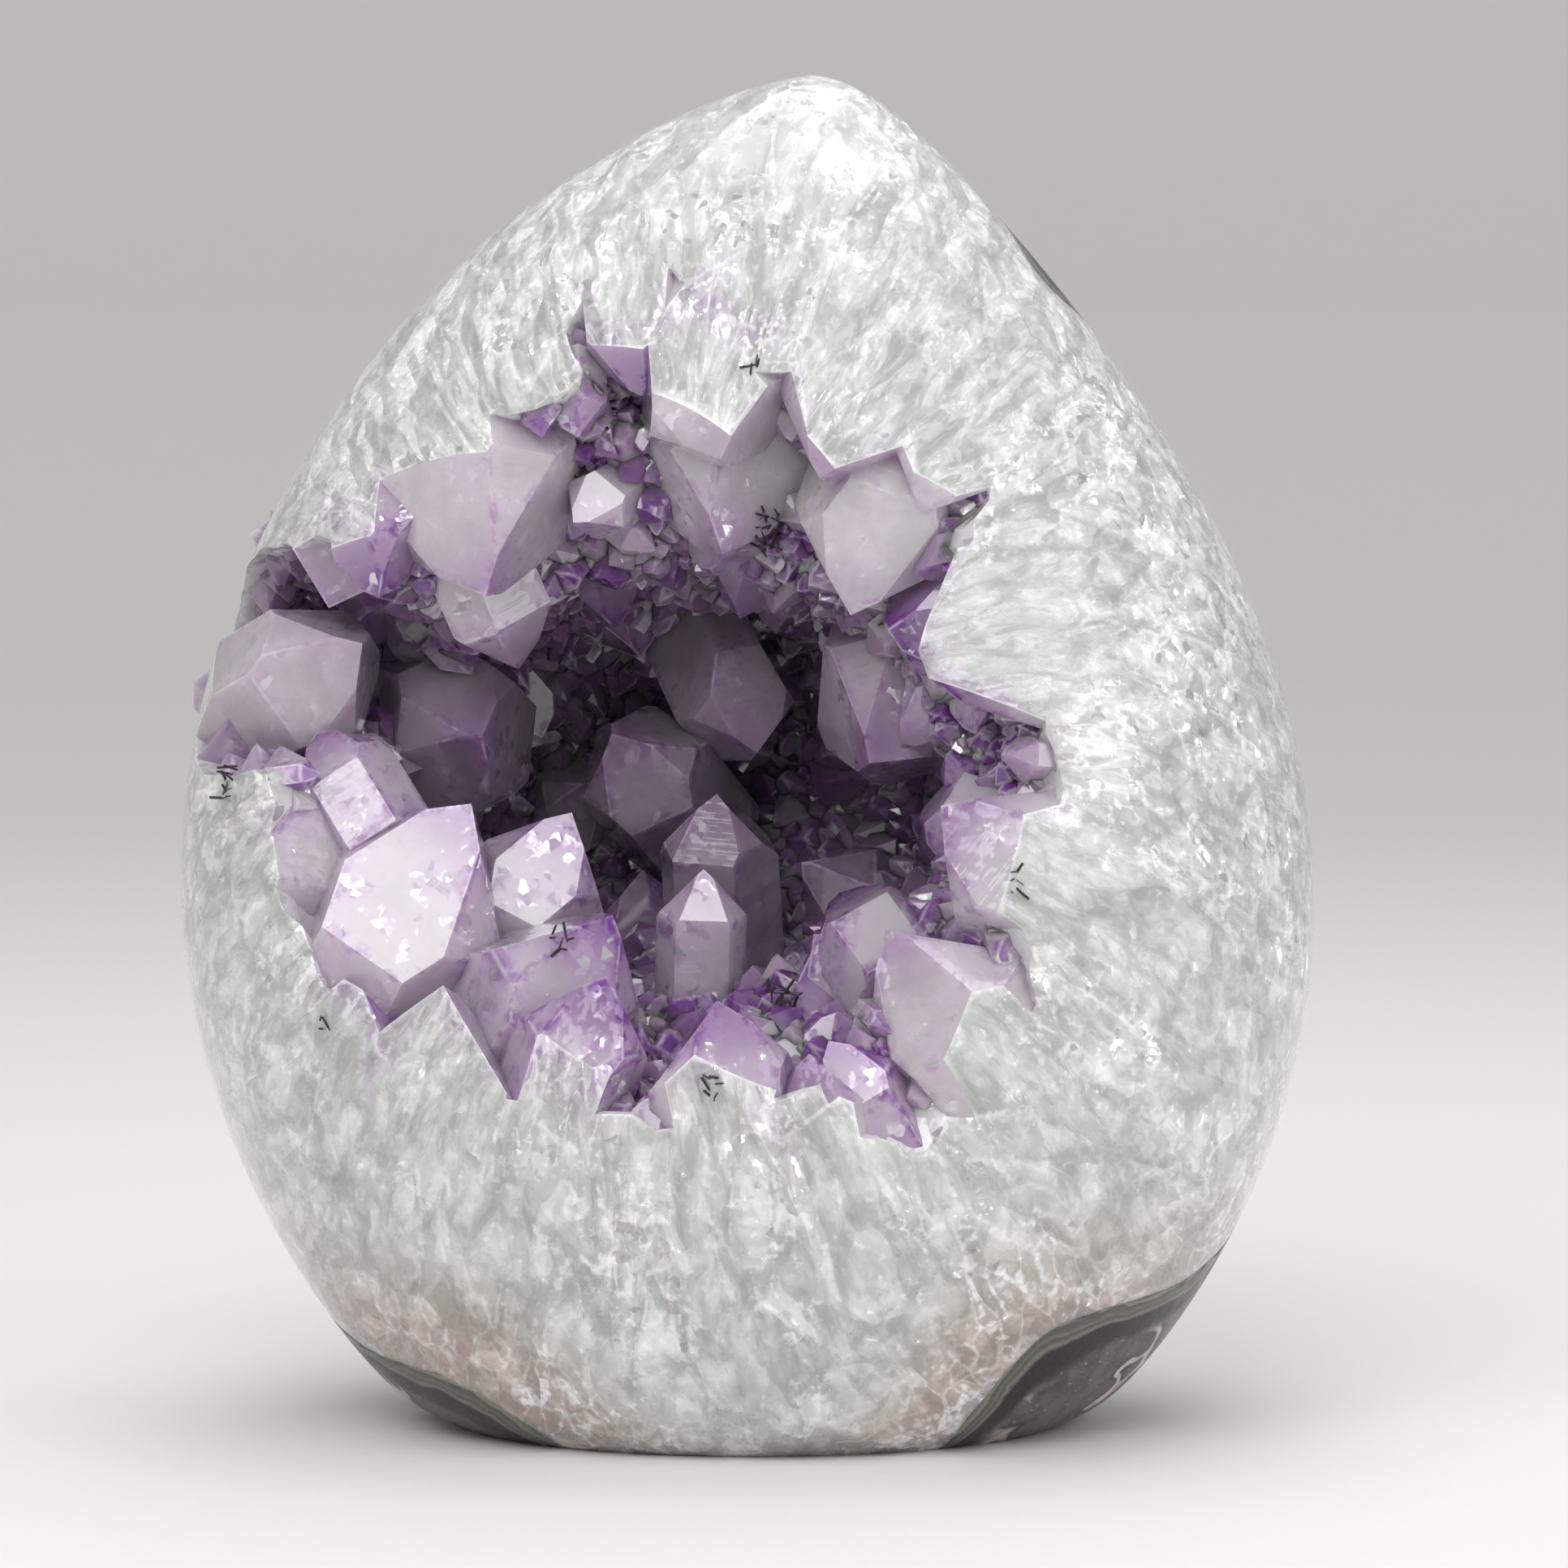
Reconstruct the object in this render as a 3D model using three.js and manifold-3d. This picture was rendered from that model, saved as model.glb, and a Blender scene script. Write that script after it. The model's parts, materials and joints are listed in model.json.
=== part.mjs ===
// Polished amethyst geode: a free-standing, flame-shaped egg of white quartz, ground and polished
// from the wall of a geode, with the geode's crystal-lined cave left open at the front.
// Two pieces: the quartz with all the crystals that grew from it, and the agate-and-basalt rind.
// Millimetres, +Z up, the front of the cave facing -Y, origin in the middle of the base.
import * as THREE from "three";
import { ConvexGeometry } from "three/addons/geometries/ConvexGeometry.js";
import { mergeVertices } from "three/addons/utils/BufferGeometryUtils.js";
import Module from "manifold-3d";

// Driving dimensions of the polished egg.
const height = 160;
const halfWidth = 67.4;
const depthShare = 0.78; // half depth over half width
const buriedEnd = 20; // how much of the full egg the flat base cuts off
const girthRise = 0.9; // under 1 puts the widest part above the middle of the full egg
const fullness = 0.6; // 0.5 is an ellipse, and more is slimmer at both ends
const peakSharpness = 0.04; // what the top adds to that
const sideLean = -3; // how far the whole egg leans to the left by the time it reaches its top
const peakBend = 9.5; // how far its peak bends back to the right
const edgeBreak = 0.1; // rounding of the base's edge, as a share of the width there
const edgeBreakHeight = 2;
const eggSegments = 42;
const eggRings = 26;

// The gap kept between the quartz and the rind.
const seamGap = 0.3;

// Quartz: each face of the crystal's point stands 38.2 degrees from its long axis.
const pointFaceTilt = THREE.MathUtils.degToRad(90 - 38.2);

// The inner face of the rind, where the geode began to grow: a lumpy ellipsoid.
const rindFace = {
  centre: new THREE.Vector3(-2, -38, 90),
  radii: new THREE.Vector3(86, 83, 94),
  segments: 32,
  rings: 18,
  lumps: [
    { toward: [0.5, -0.1, -0.86], size: -0.17, spread: 24 }, // lower right
    { toward: [-0.42, 0, -0.9], size: -0.09, spread: 36 }, // lower left
    { toward: [0.04, 0.1, -1], size: 0.09, spread: 30 }, // white foot between them
    { toward: [0.57, 0.46, 0.66], size: -0.2, spread: 45 }, // right shoulder
    { toward: [0.45, 0.75, 0.48], size: -0.16, spread: 14 }, // dark back below the shoulder
    { toward: [-0.62, 0.42, -0.66], size: 0.08, spread: 18 }, // white lower left side
    { toward: [0.68, 0.42, -0.58], size: 0.06, spread: 20 }, // white lower right side
    { toward: [-0.7, 0.65, 0.3], size: 0.07, spread: 18 }, // white flank at the back
  ],
};

// The open space: a wide mouth, the cave behind it, a shelf that runs out to the left side, two
// brows above the mouth, the pocket between them and a bare broken scoop at the lower right. Small
// crystals line the walls of all but the scoop.
const hollows = [
  { centre: [-16, -50, 84], radii: [50, 36, 44], crystals: 46, size: [5, 9] },
  { centre: [-9, -14, 76], radii: [37, 37, 26], crystals: 48, size: [4.5, 8] },
  { centre: [-55, -20, 91], radii: [21, 30, 14], crystals: 14, size: [5, 8] },
  { centre: [-33, -38, 108], radii: [25, 18, 14], crystals: 8, size: [4, 6] },
  { centre: [3, -43, 110], radii: [24, 19, 15], crystals: 10, size: [4, 6] },
  { centre: [-13, -34, 127], radii: [8, 13, 12], crystals: 6, size: [3, 4.5] },
  { centre: [19, -53, 55], radii: [15, 12, 19], crystals: 0, size: [1, 1] },
];
const hollowSegments = 20;
const liningLength = 16;
const liningTilt = 0.55; // how far a lining crystal may lean from the wall's own direction
const wallMargin = 0.93; // the share of a hollow's radii within which its wall is surely gone
const bodyBelowPolish = 0.9; // least depth of a lining crystal's point, as a share of its radius

// The large crystals: where each point is, which way it points, its radius and its turn in degrees.
const largeCrystals = [
  // the roof, from the left to the right
  { point: [-50, -18, 98], along: [-0.2, -0.4, -0.88], radius: 11, turn: 25 },
  { point: [-43, -27, 99], along: [0.1, -0.45, -0.88], radius: 6, turn: 40 },
  { point: [-31, -30, 100], along: [0.05, -0.58, -0.81], radius: 15, turn: 16 },
  { point: [-28, -34, 121], along: [0.2, -0.12, -0.97], radius: 13, turn: 12 },
  { point: [-13, -31, 122], along: [0.1, -0.5, -0.86], radius: 6, turn: 20 },
  { point: [-9, -37, 130], along: [-0.75, -0.25, -0.6], radius: 8, turn: 40 },
  { point: [-4, -42, 124], along: [-0.7, -0.3, -0.6], radius: 5, turn: 15 },
  { point: [-4, -39, 115], along: [0.1, -0.75, -0.6], radius: 9, turn: 8 },
  { point: [8, -39, 113], along: [-0.4, -0.55, -0.7], radius: 12, turn: 33 },
  { point: [19, -37, 109], along: [-0.35, -0.5, -0.8], radius: 8, turn: 10 },
  { point: [11, -34, 98], along: [-0.3, -0.45, -0.84], radius: 11, turn: 22 },
  { point: [-4, -28, 104], along: [0, -0.55, -0.83], radius: 12.5, turn: 50 },
  { point: [19, -47, 91], along: [-0.85, -0.3, -0.4], radius: 12, turn: 0 },
  // the depth of the cave
  { point: [14, -22, 80], along: [-0.3, -0.8, -0.5], radius: 12.5, turn: 25 },
  { point: [-32, -12, 82], along: [0.35, -0.93, -0.05], radius: 11, turn: 15 },
  { point: [-17, -3, 82], along: [-0.35, -0.75, 0.5], radius: 8.5, turn: 35 },
  { point: [0, -2, 80], along: [0.3, -0.7, -0.6], radius: 8, turn: 3 },
  { point: [-5, -8, 75], along: [-0.05, -0.42, 0.9], radius: 7, turn: 14 },
  { point: [-6, -24, 67], along: [0.03, -0.3, 0.95], radius: 5, turn: 30 },
  // the left wall
  { point: [-46, -19, 93], along: [0.6, -0.7, 0.35], radius: 9.5, turn: 9 },
  { point: [-62, -12, 84], along: [-0.1, -0.7, 0.7], radius: 8, turn: 32 },
  // the floor, from the left to the right
  { point: [-49, -26, 78], along: [0.3, -0.3, 0.89], radius: 11, turn: 44 },
  { point: [-33, -30, 74], along: [0.45, -0.3, 0.83], radius: 14, turn: 10 },
  { point: [-22, -22, 73], along: [0.4, -0.3, 0.86], radius: 9, turn: 18 },
  { point: [-17, -37, 63], along: [0.5, -0.4, 0.76], radius: 11, turn: 37 },
  { point: [-46, -40, 56], along: [0.1, -0.4, 0.9], radius: 5, turn: 50 },
  { point: [-35, -45, 55], along: [0.12, -0.3, 0.94], radius: 11, turn: 6 },
  { point: [-17, -46, 56], along: [0.3, -0.3, 0.9], radius: 8, turn: 25 },
  { point: [-4, -48, 54], along: [-0.05, -0.3, 0.95], radius: 8.5, turn: 48 },
  { point: [6, -47, 48], along: [-0.2, -0.25, 0.94], radius: 7, turn: 12 },
  { point: [6, -32, 58], along: [-0.2, -0.35, 0.9], radius: 6, turn: 50 },
  // the right wall
  { point: [15, -42, 61], along: [-0.62, -0.25, 0.74], radius: 13, turn: 20 },
  { point: [21, -43, 75], along: [-0.75, -0.3, 0.58], radius: 11, turn: 41 },
];

const wasm = await Module();
wasm.setup();

// A repeatable number from 0 to 1 for each whole number.
function chance(n) {
  const wave = Math.sin(n * 12.9898 + 4.1414) * 43758.5453;
  return wave - Math.floor(wave);
}

// Half the egg's width at a height.
function halfWidthAt(z) {
  const up = Math.min((z + buriedEnd) / (height + buriedEnd), 1);
  const swell = Math.max(Math.sin(Math.PI * up ** girthRise), 0) ** (fullness + peakSharpness * up);
  return halfWidth * swell * (1 - edgeBreak * Math.exp(-z / edgeBreakHeight));
}

// How far the egg's middle stands to the right at a height.
function leanAt(z) {
  return sideLean * (z / height) + peakBend * (z / height) ** 12;
}

// A three.js geometry as a solid that can be joined and cut.
function solidFrom(geometry) {
  const bare = new THREE.BufferGeometry();
  const loose = geometry.index ? geometry.toNonIndexed() : geometry;
  bare.setAttribute("position", loose.getAttribute("position"));
  const welded = mergeVertices(bare, 1e-3);
  const triVerts = new Uint32Array(welded.index.array);
  const vertProperties = welded.attributes.position.array;
  return new wasm.Manifold(new wasm.Mesh({ numProp: 3, vertProperties, triVerts }));
}

// A solid as a three.js geometry.
function geometryFrom(solid) {
  const { vertProperties, triVerts } = solid.getMesh();
  const geometry = new THREE.BufferGeometry();
  geometry.setAttribute("position", new THREE.BufferAttribute(vertProperties, 3));
  geometry.setIndex(new THREE.BufferAttribute(triVerts, 1));
  const faceted = geometry.toNonIndexed();
  faceted.computeVertexNormals();
  return faceted;
}

// Moves every vertex of a geometry by a function of its place.
function reshape(geometry, move) {
  const places = geometry.getAttribute("position");
  const place = new THREE.Vector3();
  for (let i = 0; i < places.count; i += 1) {
    place.fromBufferAttribute(places, i);
    move(place);
    places.setXYZ(i, place.x, place.y, place.z);
  }
  return geometry;
}

// The polished egg: a lathed profile, pressed to its depth and leant at the peak.
function eggSolid() {
  const profile = [new THREE.Vector2(0, 0)];
  for (let i = 0; i < eggRings; i += 1) {
    const z = height * (1 - Math.cos((Math.PI * i) / eggRings)) * 0.5;
    profile.push(new THREE.Vector2(halfWidthAt(z), z));
  }
  profile.push(new THREE.Vector2(0, height));
  const turned = new THREE.LatheGeometry(profile, eggSegments).rotateX(Math.PI / 2);
  return solidFrom(
    reshape(turned, (p) => {
      p.x += leanAt(p.z);
      p.y *= depthShare;
    }),
  );
}

// The rind's inner face as a closed solid, grown or shrunk by an offset.
function rindFaceSolid(offset) {
  const { centre, radii, segments, rings, lumps } = rindFace;
  const aims = lumps.map(({ toward, size, spread }) => ({
    toward: new THREE.Vector3(...toward).normalize(),
    size,
    spread,
  }));
  const ball = new THREE.SphereGeometry(1, segments, rings).rotateX(Math.PI / 2);
  return solidFrom(
    reshape(ball, (p) => {
      let reach = 1;
      for (const { toward, size, spread } of aims) {
        reach += size * Math.exp(spread * (p.dot(toward) - 1));
      }
      const outward = p.clone().multiplyScalar(offset);
      p.multiplyScalar(reach).multiply(radii).add(outward).add(centre);
    }),
  );
}

// How far a place is below the polish.
function skinDepthAt({ x, y, z }) {
  const wide = halfWidthAt(z);
  return (1 - Math.hypot((x - leanAt(z)) / wide, y / wide / depthShare)) * wide * depthShare;
}

// One of the open spaces.
function hollowSolid({ centre, radii }) {
  const ball = new THREE.SphereGeometry(1, hollowSegments, hollowSegments / 2).rotateX(Math.PI / 2);
  return solidFrom(ball.scale(...radii).translate(...centre));
}

// Whether a place is inside one of the open spaces, clear of its wall.
function isInside(place, { centre, radii }) {
  const from = place.clone().sub(new THREE.Vector3(...centre)).divide(new THREE.Vector3(...radii));
  return from.length() < wallMargin;
}

// The point where three planes meet. A plane is a normal and its distance from the origin.
function meeting(a, b, c) {
  const bc = b.normal.clone().cross(c.normal);
  const volume = a.normal.dot(bc);
  if (Math.abs(volume) < 1e-6) return null;
  return bc
    .multiplyScalar(a.far)
    .addScaledVector(c.normal.clone().cross(a.normal), b.far)
    .addScaledVector(a.normal.clone().cross(b.normal), c.far)
    .divideScalar(volume);
}

// A quartz crystal: six long sides and six slanted faces that meet in a point, three large and
// three small, each a little off its ideal place. It runs back from its point by its length.
function crystalSolid({ point, along, radius, turn, length = 26 }, seed) {
  const planes = [{ normal: new THREE.Vector3(0, 0, -1), far: length }];
  for (let side = 0; side < 6; side += 1) {
    const angle = (side * Math.PI) / 3;
    const across = new THREE.Vector3(Math.cos(angle), Math.sin(angle), 0);
    const wide = radius * 0.866 * (0.86 + 0.28 * chance(seed * 17 + side));
    const small = side % 2 ? 0.22 : 0;
    const lift = radius * (small + 0.16 * chance(seed * 31 + side));
    const slant = across.clone().multiplyScalar(Math.sin(pointFaceTilt));
    slant.z = Math.cos(pointFaceTilt);
    planes.push({ normal: across, far: wide });
    planes.push({ normal: slant, far: slant.z * lift });
  }
  const corners = [];
  for (let i = 0; i < planes.length; i += 1) {
    for (let j = i + 1; j < planes.length; j += 1) {
      for (let k = j + 1; k < planes.length; k += 1) {
        const corner = meeting(planes[i], planes[j], planes[k]);
        const kept = corner && planes.every(({ normal, far }) => normal.dot(corner) < far + 1e-4);
        if (kept && corners.every((other) => other.distanceTo(corner) > 0.02)) corners.push(corner);
      }
    }
  }
  const aim = new THREE.Quaternion().setFromUnitVectors(
    new THREE.Vector3(0, 0, 1),
    new THREE.Vector3(...along).normalize(),
  );
  const shape = new ConvexGeometry(corners)
    .rotateZ(THREE.MathUtils.degToRad(turn))
    .applyQuaternion(aim)
    .translate(...point);
  return solidFrom(shape);
}

// The crystals that line one hollow: spaced evenly over its wall, each pointing inwards. None starts
// where another hollow has taken the wall away, or where the polish would leave only a sliver of it.
function liningCrystals(hollow, firstSeed) {
  const middle = new THREE.Vector3(...hollow.centre);
  const reach = new THREE.Vector3(...hollow.radii);
  const goldenAngle = Math.PI * (3 - Math.sqrt(5));
  const found = [];
  for (let i = 0; i < hollow.crystals; i += 1) {
    const seed = firstSeed + i;
    const up = 1 - (2 * i + 1) / hollow.crystals;
    const ring = Math.sqrt(1 - up * up);
    const around = goldenAngle * i;
    const onBall = new THREE.Vector3(ring * Math.cos(around), ring * Math.sin(around), up);
    const place = onBall.clone().multiply(reach).add(middle);
    if (hollows.some((other) => other !== hollow && isInside(place, other))) continue;
    const along = onBall.divide(reach).normalize().negate();
    along.x += liningTilt * (chance(seed * 7 + 1) - 0.5);
    along.y += liningTilt * (chance(seed * 7 + 2) - 0.5);
    along.z += liningTilt * (chance(seed * 7 + 3) - 0.5);
    along.normalize();
    const radius = THREE.MathUtils.lerp(hollow.size[0], hollow.size[1], chance(seed * 3 + 1));
    place.addScaledVector(along, radius * (0.5 + 0.7 * chance(seed * 5 + 2)));
    if (skinDepthAt(place) < bodyBelowPolish * radius) continue;
    const crystal = { point: place.toArray(), along: along.toArray(), radius, turn: 60 * chance(seed) };
    found.push({ ...crystal, length: liningLength });
  }
  return found;
}

function joined(solids) {
  return solids.reduce((whole, solid) => whole.add(solid));
}

const egg = eggSolid();
const hollow = joined(hollows.map(hollowSolid));
const lining = hollows.flatMap((place, i) => liningCrystals(place, 100 + 200 * i));
const crystals = joined([...largeCrystals, ...lining].map(crystalSolid));

// Everything grew inwards from the rind; then the whole was ground to the egg's outline.
const quartz = egg.subtract(hollow).add(crystals).intersect(egg).intersect(rindFaceSolid(-seamGap));
const rind = egg.subtract(rindFaceSolid(0));

function largestBody(solid) {
  return solid.decompose().reduce((best, body) => (body.volume() > best.volume() ? body : best));
}

function pieceMesh(name, solid, look) {
  const piece = new THREE.Mesh(geometryFrom(largestBody(solid)), new THREE.MeshStandardMaterial(look));
  piece.name = name;
  return piece;
}

const geode = new THREE.Group();
geode.add(pieceMesh("quartz_with_crystals", quartz, { color: 0xd2d0cd, roughness: 0.15, metalness: 0 }));
geode.add(pieceMesh("agate_rind", rind, { color: 0x4a4544, roughness: 0.25, metalness: 0 }));

export default geode;
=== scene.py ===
import json
import math

import bmesh
import bpy
import numpy as np
from mathutils import Matrix, Vector, noise
from mathutils.bvhtree import BVHTree

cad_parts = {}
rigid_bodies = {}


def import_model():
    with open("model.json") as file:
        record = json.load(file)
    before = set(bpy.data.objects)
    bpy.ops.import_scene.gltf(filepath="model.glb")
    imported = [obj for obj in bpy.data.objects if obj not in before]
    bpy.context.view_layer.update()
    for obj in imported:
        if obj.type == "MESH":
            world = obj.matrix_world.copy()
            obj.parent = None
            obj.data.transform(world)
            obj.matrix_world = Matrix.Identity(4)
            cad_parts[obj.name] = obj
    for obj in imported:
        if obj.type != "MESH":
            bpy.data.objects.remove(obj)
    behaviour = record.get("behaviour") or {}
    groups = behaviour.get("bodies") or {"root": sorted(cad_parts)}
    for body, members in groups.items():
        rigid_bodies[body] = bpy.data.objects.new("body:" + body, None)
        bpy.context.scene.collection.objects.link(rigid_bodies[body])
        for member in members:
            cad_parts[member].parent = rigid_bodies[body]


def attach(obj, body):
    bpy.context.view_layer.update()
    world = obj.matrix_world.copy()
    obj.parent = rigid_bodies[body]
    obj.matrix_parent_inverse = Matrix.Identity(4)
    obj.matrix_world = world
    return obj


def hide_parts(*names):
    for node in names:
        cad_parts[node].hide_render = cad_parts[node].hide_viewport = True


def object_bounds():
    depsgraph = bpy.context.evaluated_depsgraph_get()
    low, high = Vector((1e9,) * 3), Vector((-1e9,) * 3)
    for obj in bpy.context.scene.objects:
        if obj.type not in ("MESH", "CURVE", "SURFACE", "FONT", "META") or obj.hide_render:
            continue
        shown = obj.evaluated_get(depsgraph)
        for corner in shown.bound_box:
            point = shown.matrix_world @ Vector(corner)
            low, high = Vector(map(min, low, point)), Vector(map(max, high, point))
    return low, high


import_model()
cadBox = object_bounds()
scene = bpy.context.scene

# Every length below is in millimetres of a stone 160 mm tall, and unit turns it into metres.
unit = (cadBox[1].z - cadBox[0].z) / 160


# Shapes shared by the quartz and the rind.

egg = {
    "height": 160,
    "halfWidth": 67.4,
    "depthShare": 0.78,      # half depth over half width
    "buriedEnd": 20,         # what the flat base cuts off the full egg
    "girthRise": 0.9,
    "fullness": 0.6,
    "peakSharpness": 0.04,
    "sideLean": -3,
    "peakBend": 9.5,
    "peakBendPower": 12,     # how close to the top the bend stays
    "edgeBreak": 0.1,
    "edgeBreakHeight": 2,
    "segments": 200,
    "rings": 124,
}

rindFace = {
    "centre": (-2, -38, 90),
    "radii": (86, 83, 94),
    "detail": 6,
    "roughness": 0.012,      # bumps of the boundary, as a share of its radii
    "roughnessScale": 6,
    "lumps": [               # direction, size as a share of the radii, tightness
        ((0.5, -0.1, -0.86), -0.17, 24),
        ((-0.42, 0, -0.9), -0.09, 36),
        ((0.04, 0.1, -1), 0.09, 30),
        ((0.57, 0.46, 0.66), -0.2, 45),
        ((0.45, 0.75, 0.48), -0.16, 14),
        ((-0.62, 0.42, -0.66), 0.08, 18),
        ((0.68, 0.42, -0.58), 0.06, 20),
        ((-0.7, 0.65, 0.3), 0.07, 18),
    ],
}

hollows = [                  # the cave is these balls together, each lined with some crystals of a size
    {"centre": (-16, -50, 84), "radii": (50, 36, 44), "detail": 5, "crystals": 46, "size": (5, 9)},
    {"centre": (-9, -14, 76), "radii": (37, 37, 26), "detail": 5, "crystals": 48, "size": (4.5, 8)},
    {"centre": (-55, -20, 91), "radii": (21, 30, 14), "detail": 4, "crystals": 14, "size": (5, 8)},
    {"centre": (-33, -38, 108), "radii": (25, 18, 14), "detail": 4, "crystals": 8, "size": (4, 6)},
    {"centre": (3, -43, 110), "radii": (24, 19, 15), "detail": 4, "crystals": 10, "size": (4, 6)},
    {"centre": (-13, -34, 127), "radii": (8, 13, 12), "detail": 4, "crystals": 6, "size": (3, 4.5)},
    {"centre": (19, -53, 55), "radii": (15, 12, 19), "detail": 5, "crystals": 0, "size": (1, 1)},
]

hollowWall = {
    "unevenness": 3,
    "swells": 9,             # distance between the large swells, and then the small ones
    "ripples": 3.5,
}

largeCrystals = [            # point, direction, radius, turn in degrees, depth of purple
    # the roof, from the left to the right
    ((-50, -18, 98), (-0.2, -0.4, -0.88), 11, 25, 0.7),
    ((-43, -27, 99), (0.1, -0.45, -0.88), 6, 40, 1.3),
    ((-31, -30, 100), (0.05, -0.58, -0.81), 15, 16, 0.6),
    ((-28, -34, 121), (0.2, -0.12, -0.97), 13, 12, 0.35),
    ((-13, -31, 122), (0.1, -0.5, -0.86), 6, 20, 1.1),
    ((-9, -37, 130), (-0.75, -0.25, -0.6), 8, 40, 0.9),
    ((-4, -42, 124), (-0.7, -0.3, -0.6), 5, 15, 0.5),
    ((-4, -39, 115), (0.1, -0.75, -0.6), 9, 8, 0.4),
    ((8, -39, 113), (-0.4, -0.55, -0.7), 12, 33, 0.6),
    ((19, -37, 109), (-0.35, -0.5, -0.8), 8, 10, 0.35),
    ((11, -34, 98), (-0.3, -0.45, -0.84), 11, 22, 0.45),
    ((-4, -28, 104), (0, -0.55, -0.83), 12.5, 50, 0.6),
    ((19, -47, 91), (-0.85, -0.3, -0.4), 12, 0, 1.3),
    # the depth of the cave
    ((14, -22, 80), (-0.3, -0.8, -0.5), 12.5, 25, 0.8),
    ((-32, -12, 82), (0.35, -0.93, -0.05), 11, 15, 0.8),
    ((-17, -3, 82), (-0.35, -0.75, 0.5), 8.5, 35, 0.8),
    ((0, -2, 80), (0.3, -0.7, -0.6), 8, 3, 0.8),
    ((-5, -8, 75), (-0.05, -0.42, 0.9), 7, 14, 0.8),
    ((-6, -24, 67), (0.03, -0.3, 0.95), 5, 30, 0.6),
    # the left wall
    ((-46, -19, 93), (0.6, -0.7, 0.35), 9.5, 9, 0.4),
    ((-62, -12, 84), (-0.1, -0.7, 0.7), 8, 32, 0.9),
    # the floor, from the left to the right
    ((-49, -26, 78), (0.3, -0.3, 0.89), 11, 44, 0.9),
    ((-33, -30, 74), (0.45, -0.3, 0.83), 14, 10, 0.9),
    ((-22, -22, 73), (0.4, -0.3, 0.86), 9, 18, 1),
    ((-17, -37, 63), (0.5, -0.4, 0.76), 11, 37, 1.1),
    ((-46, -40, 56), (0.1, -0.4, 0.9), 5, 50, 1.1),
    ((-35, -45, 55), (0.12, -0.3, 0.94), 11, 6, 0.9),
    ((-17, -46, 56), (0.3, -0.3, 0.9), 8, 25, 1.3),
    ((-4, -48, 54), (-0.05, -0.3, 0.95), 8.5, 48, 1),
    ((6, -47, 48), (-0.2, -0.25, 0.94), 7, 12, 0.9),
    ((6, -32, 58), (-0.2, -0.35, 0.9), 6, 50, 1.2),
    # the right wall
    ((15, -42, 61), (-0.62, -0.25, 0.74), 13, 20, 0.6),
    ((21, -43, 75), (-0.75, -0.3, 0.58), 11, 41, 0.8),
]

crystalForm = {
    "length": 26,
    "liningLength": 16,
    "pointFaceTilt": 90 - 38.2,   # a quartz point's faces stand 38.2 degrees from its long axis
    "liningTilt": 0.55,
    "wallMargin": 0.93,
    "bodyBelowPolish": 0.9,       # least depth of a lining crystal's point, as a share of its radius
}


def chance(n):               # a repeatable number from 0 to 1
    wave = math.sin(n * 12.9898 + 4.1414) * 43758.5453
    return wave - math.floor(wave)


def halfWidthAt(z):
    up = np.clip((z + egg["buriedEnd"]) / (egg["height"] + egg["buriedEnd"]), 0, 1)
    fullness = egg["fullness"] + egg["peakSharpness"] * up
    swell = np.maximum(np.sin(np.pi * up ** egg["girthRise"]), 0) ** fullness
    return egg["halfWidth"] * swell * (1 - egg["edgeBreak"] * np.exp(-z / egg["edgeBreakHeight"]))


def leanAt(z):
    up = z / egg["height"]
    return egg["sideLean"] * up + egg["peakBend"] * up ** egg["peakBendPower"]


def skinDepths(places):      # how far below the polish
    z = places[:, 2]
    wide = halfWidthAt(z)
    share = np.hypot((places[:, 0] - leanAt(z)) / wide, places[:, 1] / wide / egg["depthShare"])
    return (1 - share) * wide * egg["depthShare"]


def newObject(name, points, faces, material=None):
    mesh = bpy.data.meshes.new(name)
    mesh.from_pydata([tuple(p) for p in points], [], faces)
    mesh.validate()
    piece = bpy.data.objects.new(name, mesh)
    scene.collection.objects.link(piece)
    if material:
        mesh.materials.append(material)
    return piece


def eggObject(material, extra=0.0):    # extra: how much fatter than the finished egg
    count, rings = egg["segments"], egg["rings"]
    angles = np.arange(count) * 2 * np.pi / count
    points = [(0, 0, -extra)]
    for i in range(rings):
        z = egg["height"] * (1 - math.cos(math.pi * i / rings)) / 2
        wide, base = float(halfWidthAt(z)) + extra, z if i else -extra
        for a in angles:
            points.append((wide * math.cos(a) + leanAt(z), egg["depthShare"] * wide * math.sin(a), base))
    points.append((leanAt(egg["height"]), 0, egg["height"] + extra))
    top = len(points) - 1
    faces = []
    for j in range(count):
        k = (j + 1) % count
        faces.append((0, 1 + k, 1 + j))
        faces.append((1 + (rings - 1) * count + j, 1 + (rings - 1) * count + k, top))
        for i in range(rings - 1):
            a, b = 1 + i * count, 1 + (i + 1) * count
            faces += [(a + j, a + k, b + k), (a + j, b + k, b + j)]
    return newObject("egg", points, faces, material)


def ballPoints(detail):
    shape = bmesh.new()
    bmesh.ops.create_icosphere(shape, subdivisions=detail, radius=1)
    points = np.array([v.co[:] for v in shape.verts])
    faces = [tuple(v.index for v in f.verts) for f in shape.faces]
    shape.free()
    return points, faces


def rindReach(directions):   # how far the rind's inner face stands, in shares of its radii
    reach = np.ones(len(directions))
    for toward, size, tightness in rindFace["lumps"]:
        aim = np.array(toward) / np.linalg.norm(toward)
        reach += size * np.exp(tightness * (directions @ aim - 1))
    return reach


def rindObject(material):
    points, faces = ballPoints(rindFace["detail"])
    scale = rindFace["roughnessScale"]
    ripple = np.array([noise.fractal(Vector(p) * scale, 0.9, 2.1, 3) for p in points])
    reach = rindReach(points) + rindFace["roughness"] * ripple
    places = points * reach[:, None] * rindFace["radii"] + rindFace["centre"]
    return newObject("rindFace", places, faces, material)


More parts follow.
